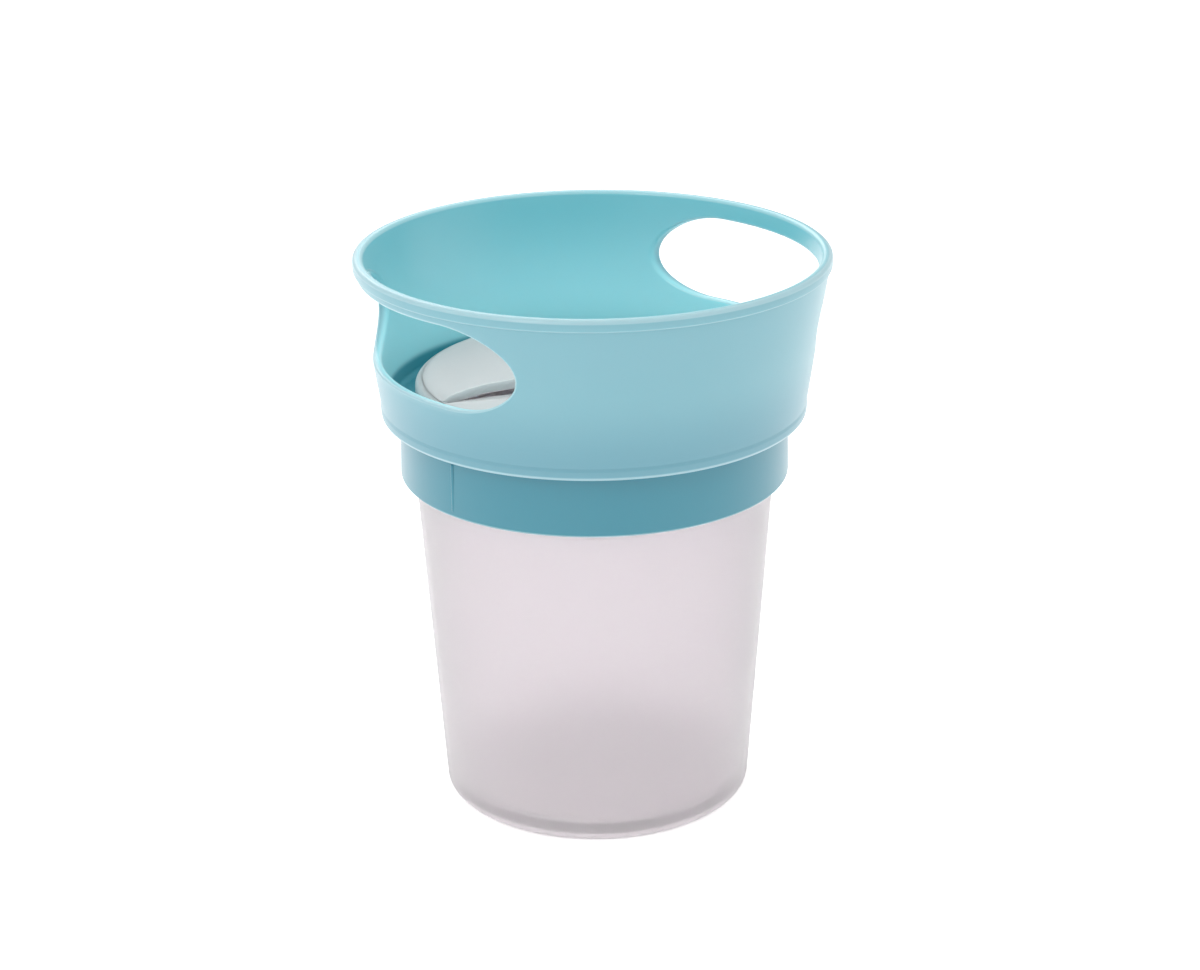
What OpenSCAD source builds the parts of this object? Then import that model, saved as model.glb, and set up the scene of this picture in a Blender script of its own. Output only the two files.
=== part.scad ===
// Toddler snack container: a frosted tapered cup, a screw-on collar with a
// wide hood and two handholds, and a soft slit diaphragm held in the collar.
// Millimetres. +Z is up, the origin is the middle of the foot, the handholds
// face +X and -X.

/* [Cup] */
// Height of the cup from the foot to its rim
cup_h = 95.4; // [80:0.1:130]
// Outside radius at the foot
foot_r = 38.2; // [34:0.1:40]
// Outside radius of the tapered wall under the collar
mouth_r = 43.9; // [42.5:0.1:48]
// Thickness of the cup's wall
cup_wall = 1.7; // [1.2:0.1:2.4]
// Thickness of the cup's floor
cup_floor = 2.4; // [1.6:0.1:4]
// Width of the ring that the cup stands on
foot_w = 3.4; // [2.4:0.1:6]
// Depth of the hollow under the floor
foot_hollow = 1.2; // [0.6:0.1:3]
// Radius of the rounded heel
heel_round = 2; // [1:0.1:3]
// Radius of the fillet inside the cup, between wall and floor
inside_round = 4; // [2:0.5:8]
// Height of the neck that the collar screws on
neck_h = 10.8; // [8:0.1:14]
// How far the neck steps in from the tapered wall
neck_step = 0.9; // [0.6:0.1:1.4]
// Radius of the stop bead's round
stop_bead_r = 0.6; // [0.5:0.1:1.2]
// How far the stop bead stands proud of the wall
stop_bead_proud = 0.45; // [0.2:0.05:0.7]
// Gap between the stop bead and the skirt's bottom edge
stop_gap = 0.4; // [0.3:0.1:3]

/* [Collar] */
// Thickness of the skirt at its top
skirt_wall = 2.1; // [1.6:0.1:3]
// How much wider the skirt is at its bottom edge
skirt_flare = 0.33; // [0:0.01:0.8]
// Height of the skirt below the shelf
skirt_h = 15.2; // [12:0.1:18]
// Thickness of the shelf around the diaphragm
shelf_t = 1.8; // [1.2:0.1:3]
// Height of the hood above the top of the shelf
hood_h = 37.7; // [30:0.1:60]
// How far the hood stands out past the skirt, level with the shelf
hood_step = 4.3; // [3:0.1:8]
// Outside radius of the hood at its top
hood_top_r = 57; // [54:0.1:64]
// Thickness of the hood's wall
hood_wall = 2.2; // [1.6:0.1:3]
// Height of the lip at the top of the hood
lip_h = 3; // [2.6:0.1:6]
// How far the lip stands proud of the hood
lip_proud = 0.3; // [0.1:0.05:0.8]
// Radius of the bead round the bottom of the hood
hood_bead_r = 1.2; // [0.9:0.1:1.4]
// How far that bead stands proud of the hood
hood_bead_proud = 0.2; // [0.1:0.05:0.5]
// Radius of the fillet between the hood's wall and the shelf
hood_fillet = 1.6; // [0.8:0.1:3]
// Height of the closing mark on the skirt
mark_h = 12; // [6:0.5:14]
// Height of the closing mark's foot above the skirt's bottom edge
mark_lift = 1.2; // [0.8:0.1:3]
// Radius of the closing mark
mark_r = 0.5; // [0.3:0.1:0.8]
// Angle of the closing mark round the skirt, from +X
mark_turn = 197; // [0:1:359]

/* [Handholds] */
// Width of each handhold, straight across
handhold_w = 73.6; // [50:0.2:80]
// Height of each handhold
handhold_h = 20.2; // [16:0.1:22]
// How far along the width the curve of each rounded end reaches
handhold_end = 15; // [10:0.5:20]
// Height of a handhold's bottom edge above the shelf
handhold_rise = 12.7; // [8:0.1:13]

/* [Diaphragm] */
// Height of the dome above the shelf
dome_rise = 8; // [6:0.1:11]
// Radius of the dome's rounded shoulder
shoulder_r = 4; // [2.6:0.1:5]
// Thickness of the soft wall and the flaps
soft_t = 2.4; // [1.6:0.1:2.8]
// Thickness of the flange under the shelf
flange_t = 1.5; // [1:0.1:2.5]
// How far the flange reaches out past the dome
flange_w = 1.4; // [1:0.1:2.4]
// Distance from the outer end of each slit to the outside of the dome
slit_margin = 6.2; // [6:0.1:14]
// Width of the slits
slit_w = 0.5; // [0.4:0.05:0.8]
// Length trimmed off each corner of a flap at the end of its slits
corner_trim = 3.2; // [2.4:0.1:5]
// Angle that the front left flap sags by itself
sag_angle_front_left = 8; // [0:1:20]
// Angle that the front right flap sags by itself
sag_angle_front_right = 5; // [0:1:20]
// Angle that the back right flap sags by itself
sag_angle_back_right = 3; // [0:1:20]
// Angle that the back left flap sags by itself
sag_angle_back_left = 1; // [0:1:20]

/* [Retaining ring] */
// Thickness of the ring that holds the flange up
ring_t = 1.5; // [1:0.1:2.5]
// How far the ring reaches in past the inside of the cup's rim
ring_in = 0.2; // [0:0.1:1]
// Radius of the snap bead under the ring
snap_r = 0.9; // [0.6:0.1:1.2]
// How far the snap bead reaches under the ring
snap_hold = 0.25; // [0.15:0.05:0.5]

/* [Fits] */
// Space for the thread between the neck and the skirt's bore
thread_space = 1.9; // [1.6:0.1:2.4]
// Clearance between the cup's rim and the ring
rest_gap = 0.2; // [0.1:0.05:0.4]
// Clearance of the soft diaphragm in its seats
seat_gap = 0.1; // [0.05:0.05:0.2]
// Clearance round the diaphragm's flange in the skirt's bore
flange_gap = 0.3; // [0.2:0.05:0.5]
// Clearance round the dome in the shelf
dome_gap = 0.3; // [0.2:0.05:0.4]
// Running clearance of the retaining ring
ring_gap = 0.15; // [0.1:0.05:0.3]
// Clearance behind the root of each flap
root_gap = 0.3; // [0.2:0.05:0.5]

/* [Hidden] */
$fn = 120;
// Overlaps: of one shape with the next, and of a fillet with the wall behind it
eps = 0.01;
sink = 0.4;

// The quadrants that the flaps lie in, as angles from +X
front_left = 225;
front_right = 315;
back_right = 45;
back_left = 135;

// Heights, from the foot up
neck_z = cup_h - neck_h;
ring_z = cup_h + rest_gap;
flange_z = ring_z + ring_t + seat_gap;
shelf_z = flange_z + flange_t + seat_gap;
shelf_top = shelf_z + shelf_t;
skirt_z = shelf_z - skirt_h;
hood_top = shelf_top + hood_h;
dome_top = shelf_top + dome_rise;
handhold_z = shelf_top + handhold_rise + handhold_h / 2;
stop_z = skirt_z - stop_gap - stop_bead_r;

// Radii
neck_r = mouth_r - neck_step;
neck_in = neck_r - cup_wall;
foot_in = foot_r - foot_w;
bore_r = neck_r + thread_space;
skirt_r = bore_r + skirt_wall;
hood_low_r = skirt_r + hood_step;
ring_out = bore_r - ring_gap - snap_hold;
ring_hole = neck_in - ring_in;
dome_r = bore_r - flange_gap - flange_w;
slit_end = dome_r - slit_margin;

// Distance from the axis to the line that a flap bends about, and its height
flap_root = slit_end * cos(45);
flap_z = dome_top - soft_t / 2;

// Outside radius of the cup's tapered wall at height z
function cup_r(z) = foot_r + (mouth_r - foot_r) * z / neck_z;
// Outside radius of the hood at height z
function hood_r(z) = hood_low_r + (hood_top_r - lip_proud - hood_low_r) * (z - shelf_top) / hood_h;

// A rectangle in the half plane that is revolved
module band(r0, r1, z0, z1) {
    translate([r0, z0]) square([r1 - r0, z1 - z0]);
}

// A round in the half plane that is revolved
module round_at(r, z, size) {
    translate([r, z]) circle(r = size);
}

// The concave corner that fills between a wall on the right and a floor below
module fillet_at(r, z, size) {
    difference() {
        translate([r - size, z]) square(size);
        translate([r - size, z + size]) circle(r = size);
    }
}

module cup_outline() {
    heel_r = cup_r(heel_round) - heel_round;
    difference() {
        polygon([[0, 0], [foot_r, 0], [cup_r(neck_z), neck_z], [0, neck_z]]);
        band(heel_r, foot_r + heel_round, -eps, heel_round);
    }
    intersection() {
        round_at(heel_r, heel_round, heel_round);
        band(heel_r - eps, foot_r + heel_round, 0, heel_round + eps);
    }
    band(0, neck_r, neck_z - eps, cup_h - cup_wall / 2);
    round_at(neck_r - cup_wall / 2, cup_h - cup_wall / 2, cup_wall / 2);
    round_at(cup_r(stop_z) + stop_bead_proud - stop_bead_r, stop_z, stop_bead_r);
}

module cup_hollow() {
    floor_z = foot_hollow + cup_floor;
    floor_r = cup_r(floor_z) - cup_wall;
    difference() {
        union() {
            polygon([[0, floor_z], [floor_r, floor_z], [neck_in, neck_z], [0, neck_z]]);
            band(0, neck_in, neck_z - eps, cup_h + 1);
        }
        fillet_at(floor_r + sink, floor_z, inside_round);
    }
}

module cup() {
    color("thistle", 0.6)
    rotate_extrude()
    difference() {
        cup_outline();
        cup_hollow();
        band(0, foot_in, -1, foot_hollow);
    }
}

module hood_profile() {
    lip_z = hood_top - hood_wall / 2;
    low_z = shelf_z + hood_bead_r;
    polygon([
        [hood_r(low_z) - hood_wall, low_z], [hood_r(low_z), low_z],
        [hood_r(lip_z), lip_z], [hood_r(lip_z) - hood_wall, lip_z]
    ]);
    // Lip, rounded at its top and at its lower edge
    band(hood_top_r - hood_wall, hood_top_r, hood_top - lip_h + hood_wall / 2, lip_z);
    round_at(hood_top_r - hood_wall / 2, lip_z, hood_wall / 2);
    round_at(hood_top_r - hood_wall / 2, hood_top - lip_h + hood_wall / 2, hood_wall / 2);
    // Bead round the bottom edge
    round_at(hood_r(low_z) + hood_bead_proud - hood_bead_r, low_z, hood_bead_r);
    fillet_at(hood_r(shelf_top) - hood_wall + sink / 2, shelf_top, hood_fillet);
}

module skirt_profile() {
    edge = skirt_wall / 4;
    low_r = skirt_r + skirt_flare;
    polygon([
        [bore_r, skirt_z + edge], [low_r, skirt_z + edge],
        [skirt_r, shelf_z + eps], [bore_r, shelf_z + eps]
    ]);
    band(bore_r + edge, low_r - edge, skirt_z, skirt_z + edge + eps);
    round_at(bore_r + edge, skirt_z + edge, edge);
    round_at(low_r - edge, skirt_z + edge, edge);
    // Snap bead that holds the retaining ring up
    snap_z = ring_z - ring_gap - snap_r;
    intersection() {
        round_at(bore_r - ring_gap - 2 * snap_hold + snap_r, snap_z, snap_r);
        band(0, bore_r + edge, snap_z - snap_r, snap_z + snap_r);
    }
}

module handhold_cut() {
    end_y = handhold_w / 2 - handhold_end;
    translate([0, 0, handhold_z])
    rotate([90, 0, 90])
    linear_extrude(2.2 * hood_top_r, center = true) {
        square([2 * end_y, handhold_h], center = true);
        for (side = [-1, 1])
            translate([side * end_y, 0])
            scale([2 * handhold_end / handhold_h, 1])
            circle(d = handhold_h);
    }
}

module collar() {
    color("powderblue") {
        difference() {
            rotate_extrude() {
                hood_profile();
                band(dome_r + dome_gap, hood_low_r - hood_bead_r, shelf_z, shelf_top);
                skirt_profile();
            }
            handhold_cut();
        }
        rotate([0, 0, mark_turn])
        translate([skirt_r + skirt_flare / 2 - mark_r / 2, 0, skirt_z + mark_lift])
        cylinder(r = mark_r, h = mark_h);
    }
}

module diaphragm_profile() {
    inner_r = dome_r - soft_t;
    crown_r = dome_r - shoulder_r;
    crown_z = dome_top - shoulder_r;
    band(inner_r, dome_r, flange_z, crown_z);
    band(inner_r, dome_r + flange_w, flange_z, flange_z + flange_t);
    difference() {
        round_at(crown_r, crown_z, shoulder_r);
        round_at(crown_r, crown_z, shoulder_r - soft_t);
        band(0, crown_r, 0, dome_top + 1);
        band(0, dome_r + 1, 0, crown_z);
    }
    band(0, crown_r + eps, dome_top - soft_t, dome_top);
}

module diaphragm() {
    opening = 2 * (flap_root + soft_t / 2 + root_gap);
    color("whitesmoke")
    difference() {
        rotate_extrude() diaphragm_profile();
        rotate([0, 0, 45])
        translate([0, 0, dome_top])
        cube([opening, opening, 3 * soft_t], center = true);
    }
}

// One quarter of the slit top: a flat triangle with a round root to bend about.
// turn is the direction of the root from the axis, sag is how far the tip hangs.
module flap(turn, sag) {
    gap = slit_w * cos(45);
    root_w = flap_root - corner_trim;
    color("white")
    rotate([0, 0, turn])
    translate([flap_root, 0, flap_z])
    rotate([0, -sag, 0]) {
        translate([-flap_root, 0, -soft_t / 2])
        linear_extrude(soft_t)
        polygon([
            [gap, 0], [root_w + gap, root_w], [flap_root, root_w],
            [flap_root, -root_w], [root_w + gap, -root_w]
        ]);
        rotate([90, 0, 0])
        cylinder(d = soft_t, h = 2 * root_w, center = true);
    }
}

module retaining_ring() {
    color("aliceblue")
    rotate_extrude()
    band(ring_hole, ring_out, ring_z, ring_z + ring_t);
}

cup();
collar();
diaphragm();
flap(front_left, sag_angle_front_left);  // flap_front_left
flap(front_right, sag_angle_front_right);  // flap_front_right
flap(back_right, sag_angle_back_right);  // flap_back_right
flap(back_left, sag_angle_back_left);  // flap_back_left
retaining_ring();
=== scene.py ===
"""Looks of a toddler snack container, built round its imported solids.

A frosted tapered cup, an aqua screw collar with a wide hood and two handholds, and a soft white
diaphragm whose slit top a small hand pushes through. Everything is in metres in the frame of the
solids: +Z is up, the origin is the middle of the foot and the handholds face +X and -X.
"""

from __future__ import annotations

import logging
import math
from collections.abc import Callable
from dataclasses import dataclass
from enum import Enum

import bmesh
import bpy
from bmesh.types import BMEdge, BMesh, BMVert
from bpy.types import ID, Material, Node, NodeSocket, NodeTree, Object
from mathutils import Euler, Matrix, Quaternion, Vector

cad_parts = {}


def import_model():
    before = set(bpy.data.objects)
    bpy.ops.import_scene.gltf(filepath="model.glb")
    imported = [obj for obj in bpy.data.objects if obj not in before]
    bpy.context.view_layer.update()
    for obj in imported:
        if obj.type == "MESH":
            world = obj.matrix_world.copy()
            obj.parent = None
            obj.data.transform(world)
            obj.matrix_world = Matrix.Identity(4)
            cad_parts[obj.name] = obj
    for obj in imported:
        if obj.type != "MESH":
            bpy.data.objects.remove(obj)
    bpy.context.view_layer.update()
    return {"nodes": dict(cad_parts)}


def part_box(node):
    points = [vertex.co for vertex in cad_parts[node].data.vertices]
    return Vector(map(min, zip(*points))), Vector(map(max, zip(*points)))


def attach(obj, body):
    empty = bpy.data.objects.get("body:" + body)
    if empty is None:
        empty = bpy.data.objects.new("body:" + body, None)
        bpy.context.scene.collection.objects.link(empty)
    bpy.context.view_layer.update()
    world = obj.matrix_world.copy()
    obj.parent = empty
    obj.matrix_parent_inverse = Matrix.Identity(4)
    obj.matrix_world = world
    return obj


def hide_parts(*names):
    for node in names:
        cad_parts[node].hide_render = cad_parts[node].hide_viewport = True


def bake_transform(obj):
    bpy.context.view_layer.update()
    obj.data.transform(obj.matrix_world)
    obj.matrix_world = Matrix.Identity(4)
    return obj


log = logging.getLogger("snack_container")

Colour = tuple[float, float, float]
Point = tuple[float, float, float]
Span = tuple[float, float]

MM = 0.001
TINY = 1e-6
# attribute that carries the painted highlight on rounded edges
EDGE_HIGHLIGHT_ATTRIBUTE = "painted_edge_highlight"
ROUND_STEPS = 6
SPIN_STEPS = 240
STRAIGHT_HALF_DEG = 89.5
RIDGE_H = 1.1 * MM
SEAM_MM = 41.4


class Surface(Enum):
    """The two faces of the hood's wall."""

    OUTER = "outer"
    INNER = "inner"


class Slot(str, Enum):
    """The record's material slots."""

    CUP = "cup_plastic"
    COLLAR = "collar_plastic"
    DIAPHRAGM = "diaphragm_rubber"
    RING = "ring_plastic"


# ---- modelling by hand


@dataclass(frozen=True)
class Corner:
    """One corner of an outline in the half plane that is spun, in metres.

    Attributes:
        r: distance from the axis.
        z: height.
        rounding: radius that the corner is rounded to, 0 for a sharp one.
    """

    r: float
    z: float
    rounding: float = 0.0

    @property
    def point(self) -> Vector:
        """The corner as a 2D point."""
        return Vector((self.r, self.z))


def rounded_corner(before: Vector, corner: Corner, after: Vector) -> list[Vector]:
    """Works out the arc that rounds a corner between two points, or a sharp corner's own point."""
    here = corner.point
    to_before = (before - here).normalized()
    to_after = (after - here).normalized()
    half = to_before.angle(to_after) / 2
    if corner.rounding <= 0 or half > math.radians(STRAIGHT_HALF_DEG):
        return [here]
    reach = corner.rounding / math.tan(half)
    centre = here + (to_before + to_after).normalized() * (corner.rounding / math.sin(half))
    first = here + to_before * reach - centre
    turn = first.angle_signed(here + to_after * reach - centre)
    steps = [-turn * k / ROUND_STEPS for k in range(ROUND_STEPS + 1)]
    return [centre + Matrix.Rotation(step, 2) @ first for step in steps]


def outline_points(corners: list[Corner], closed: bool) -> list[Vector]:
    """Turns corners, in order, into an outline's points, with its round stretches as arcs."""
    points: list[Vector] = []
    last = len(corners) - 1
    for k, corner in enumerate(corners):
        if not closed and k in (0, last):
            points.append(corner.point)
            continue
        before = corners[k - 1].point
        after = corners[(k + 1) % len(corners)].point
        points.extend(rounded_corner(before, corner, after))
    return points


def deselect_objects() -> None:
    """Deselects every object, because an operator acts on all that is selected."""
    if bpy.context.object is not None and bpy.context.object.mode != "OBJECT":
        bpy.ops.object.mode_set(mode="OBJECT")
    bpy.ops.object.select_all(action="DESELECT")


def pick(obj: Object) -> None:
    """Makes one object the selected and active one."""
    deselect_objects()
    obj.select_set(True)
    bpy.context.view_layer.objects.active = obj


def edit(obj: Object) -> BMesh:
    """Enters edit mode on an object and returns its mesh, with nothing selected."""
    pick(obj)
    bpy.ops.object.mode_set(mode="EDIT")
    bpy.ops.mesh.select_all(action="DESELECT")
    return bmesh.from_edit_mesh(obj.data)


def leave_edit(obj: Object) -> None:
    """Writes the edited mesh back and leaves edit mode."""
    bmesh.update_edit_mesh(obj.data)
    bpy.ops.object.mode_set(mode="OBJECT")


def name_piece(obj: Object, name: str) -> Object:
    """Names an object and its mesh."""
    obj.name = name
    obj.data.name = name
    return obj


def primitive(name: str, kind: str, **settings: object) -> Object:
    """Adds a primitive of a kind and names it."""
    deselect_objects()
    getattr(bpy.ops.mesh, f"primitive_{kind}_add")(**settings)
    return name_piece(bpy.context.object, name)


def shade(obj: Object, degrees: float = 35.0) -> None:
    """Shades a piece smooth, with its sharper edges kept."""
    pick(obj)
    bpy.ops.object.shade_smooth_by_angle(angle=math.radians(degrees))


def merge_points(distance: float = TINY) -> None:
    """Merges the points of the edited mesh that lie on each other, and selects all of it."""
    bpy.ops.mesh.select_all(action="SELECT")
    bpy.ops.mesh.remove_doubles(threshold=distance)


def face_outwards() -> None:
    """Turns every face of the edited mesh outwards."""
    bpy.ops.mesh.select_all(action="SELECT")
    bpy.ops.mesh.normals_make_consistent(inside=False)


def move_to_radius(vert: BMVert, radius: float) -> None:
    """Moves a point straight out from the axis or in to it, to a given distance."""
    share = radius / math.hypot(vert.co.x, vert.co.y)
    vert.co.x *= share
    vert.co.y *= share


def mark_edges(obj: Object, flat: float = 0.041, full: float = 0.058) -> None:
    """Stores how strongly the mesh bulges at each point as EDGE_HIGHLIGHT_ATTRIBUTE, for a painted
    highlight.

    Args:
        obj: the finished mesh.
        flat: bulge that still counts as flat, and is stored as 0.
        full: bulge of a rounded edge, stored as 1.
    """
    mesh = obj.data
    bulge = [0.0] * len(mesh.vertices)
    spokes = [0] * len(mesh.vertices)
    for edge in mesh.edges:
        for here, there in (edge.vertices, reversed(edge.vertices)):
            vert = mesh.vertices[here]
            bulge[here] += (vert.co - mesh.vertices[there].co).normalized().dot(vert.normal)
            spokes[here] += 1
    layer = mesh.attributes.new(EDGE_HIGHLIGHT_ATTRIBUTE, "FLOAT", "POINT")
    for index, total in enumerate(bulge):
        share = (total / max(spokes[index], 1) - flat) / (full - flat)
        layer.data[index].value = min(max(share, 0.0), 1.0)


def spin_outline(name: str, corners: list[Corner], closed: bool) -> Object:
    """Draws an outline with one extruded point and spins it round the Z axis.

    Args:
        name: the piece's name.
        corners: the outline's corners, anticlockwise with r to the right and z up.
        closed: whether the outline is a loop; an open one starts and ends on the axis.

    Returns:
        The new piece, closed, with its faces outwards.
    """
    here, *path = outline_points(corners, closed)
    if closed:
        path.append(here)
    obj = primitive(name, "plane", size=MM, location=(0, 0, 0))
    bpy.ops.object.mode_set(mode="EDIT")
    bpy.ops.mesh.select_all(action="SELECT")
    bpy.ops.mesh.merge(type="CENTER")
    bpy.ops.transform.translate(value=(here.x, 0, here.y))
    for point in path:
        step = point - here
        if step.length < TINY:
            continue
        bpy.ops.mesh.extrude_vertices_move(TRANSFORM_OT_translate={"value": (step.x, 0, step.y)})
        here = point
    merge_points()
    bpy.ops.mesh.spin(steps=SPIN_STEPS, angle=math.tau, center=(0, 0, 0), axis=(0, 0, 1))
    merge_points(5 * TINY)
    face_outwards()
    bpy.ops.object.mode_set(mode="OBJECT")
    return obj


def apply_modifiers(obj: Object) -> None:
    """Applies all of a piece's modifiers in order."""
    pick(obj)
    for modifier in list(obj.modifiers):
        bpy.ops.object.modifier_apply(modifier=modifier.name)


def walk_loop(verts: list[BMVert], edges: set[BMEdge]) -> list[BMVert]:
    """Puts the points of one closed loop of edges in order, each joined to the next."""
    ordered = [verts[0]]
    seen = {verts[0]}
    while len(ordered) < len(verts):
        here = ordered[-1]
        nearby = [edge.other_vert(here) for edge in here.link_edges if edge in edges]
        ordered.append(next(vert for vert in nearby if vert not in seen))
        seen.add(ordered[-1])
    return ordered


def open_edges(mesh: BMesh, wanted: Callable[[Vector], bool]) -> list[BMEdge]:
    """The mesh's open edges with both points where they are wanted."""
    return [e for e in mesh.edges if e.is_boundary and all(wanted(v.co) for v in e.verts)]


def smoothstep(x: float) -> float:
    """Eases from 0 to 1."""
    x = min(max(x, 0.0), 1.0)
    return x * x * (3 - 2 * x)


# ---- finishes


class Nodes:
    """A node tree that is being filled."""

    def __init__(self, tree: NodeTree) -> None:
        """Takes the tree."""
        self.tree = tree

    def add(self, kind: str, inputs: dict[str | int, object], **settings: str) -> Node:
        """Adds a node.

        Args:
            kind: its type, without "ShaderNode".
            inputs: for each input, by name or number, the socket to link or the value to set.
            **settings: the node's own properties.
        """
        node = self.tree.nodes.new(f"ShaderNode{kind}")
        for name, value in settings.items():
            setattr(node, name, value)
        for name, value in inputs.items():
            socket = node.inputs[name]
            if isinstance(value, NodeSocket):
                self.tree.links.new(value, socket)
            else:
                socket.default_value = (*value, 1) if socket.type == "RGBA" else value
        return node

    def noise(self, place: NodeSocket, size: float, detail: float) -> NodeSocket:
        """Adds a noise with bumps of a size and some octaves of finer noise."""
        inputs = {"Vector": place, "Scale": 1 / size, "Detail": detail}
        return self.add("TexNoise", inputs).outputs["Fac"]

    def ramp(
        self, value: NodeSocket, source: Span | None = None, target: Span = (0.0, 1.0)
    ) -> NodeSocket:
        """Takes one range of values to another: 0 to 1 evenly, a stated range with soft ends."""
        start, end = source or (0.0, 1.0)
        low, high = target
        inputs = {"Value": value, "From Min": start, "From Max": end, "To Min": low, "To Max": high}
        kind = "SMOOTHSTEP" if source else "LINEAR"
        return self.add("MapRange", inputs, interpolation_type=kind).outputs["Result"]

    def mix(
        self, share: NodeSocket, low: Colour | NodeSocket, high: Colour | NodeSocket
    ) -> NodeSocket:
        """Mixes from one colour at share 0 to another at share 1."""
        inputs = {"Factor": share, "A": low, "B": high}
        return self.add("Mix", inputs, data_type="RGBA").outputs["Result"]


@dataclass(frozen=True, kw_only=True)
class Finish:
    """A moulded plastic or rubber, with linear colours and lengths in metres.

    Attributes:
        tint: the colour that the mottling leans towards.
        roughness_spread: how far the roughness wanders.
        scatter: how much of the light enters the plastic.
        scatter_depth: how far it travels inside.
        scatter_tint: how far each colour travels inside, as a share.
        clear: how much of the light goes straight through.
        grain: distance between the bumps of the surface grain, of grain_height.
        mottle: size of the colour's mottling.
        mottle_share: how much the mottling shows.
        gloss: specular level, 0.5 for the plain reflection of its refraction.
        skin: strength of the smooth glossy skin that the mould leaves.
        haze: how much pale bloom shows where the surface is seen edge-on.
        depth_colour: colour that a long way through the plastic leans towards.
        depth_density: how fast it does, per metre, 0 for not at all.
    """

    name: str
    colour: Colour
    tint: Colour
    roughness: float
    roughness_spread: float = 0.03
    scatter: float
    scatter_depth: float
    scatter_tint: Colour = (1.0, 1.0, 1.0)
    clear: float = 0.0
    refraction: float = 1.49
    grain: float
    grain_height: float = 0.004 * MM
    mottle: float
    mottle_share: float = 0.5
    gloss: float = 0.5
    skin: float = 0.0
    skin_roughness: float = 0.12
    haze: float = 0.0
    depth_colour: Colour = (1.0, 1.0, 1.0)
    depth_density: float = 0.0

    def build(self) -> Material:
        """Builds the node material, on Object coordinates."""
        material = bpy.data.materials.new(self.name)
        material.use_nodes = True
        material.node_tree.nodes.clear()
        nodes = Nodes(material.node_tree)
        place = nodes.add("TexCoord", {}).outputs["Object"]
        mottling = nodes.noise(place, self.mottle, detail=3.0)
        grain = nodes.noise(place, self.grain, detail=2.0)
        bump = {"Distance": self.grain_height, "Height": grain}
        tinted = nodes.ramp(mottling, target=(0.0, self.mottle_share))
        mottled = nodes.mix(tinted, self.colour, self.tint)
        rough = (self.roughness - self.roughness_spread, self.roughness + self.roughness_spread)
        shader = nodes.add(
            "BsdfPrincipled",
            {
                "Base Color": self.colour_at(nodes, place, mottled),
                "Roughness": nodes.ramp(mottling, target=rough),
                "Normal": nodes.add("Bump", bump).outputs["Normal"],
                "IOR": self.refraction,
                "Specular IOR Level": self.gloss,
                "Subsurface Weight": self.scatter,
                "Subsurface Radius": self.scatter_tint,
                "Subsurface Scale": self.scatter_depth,
                "Transmission Weight": self.clear,
                "Coat Weight": self.skin,
                "Coat Roughness": self.skin_roughness,
                "Sheen Weight": self.haze,
            },
        )
        results = {"Surface": shader.outputs["BSDF"]}
        if self.depth_density:
            inside = {"Color": self.depth_colour, "Density": self.depth_density}
            results["Volume"] = nodes.add("VolumeAbsorption", inside).outputs["Volume"]
        nodes.add("OutputMaterial", results)
        return material

    def colour_at(self, nodes: Nodes, place: NodeSocket, mottled: NodeSocket) -> NodeSocket:
        """Gives the surface's colour at each place, here the mottled one everywhere."""
        return mottled


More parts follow.
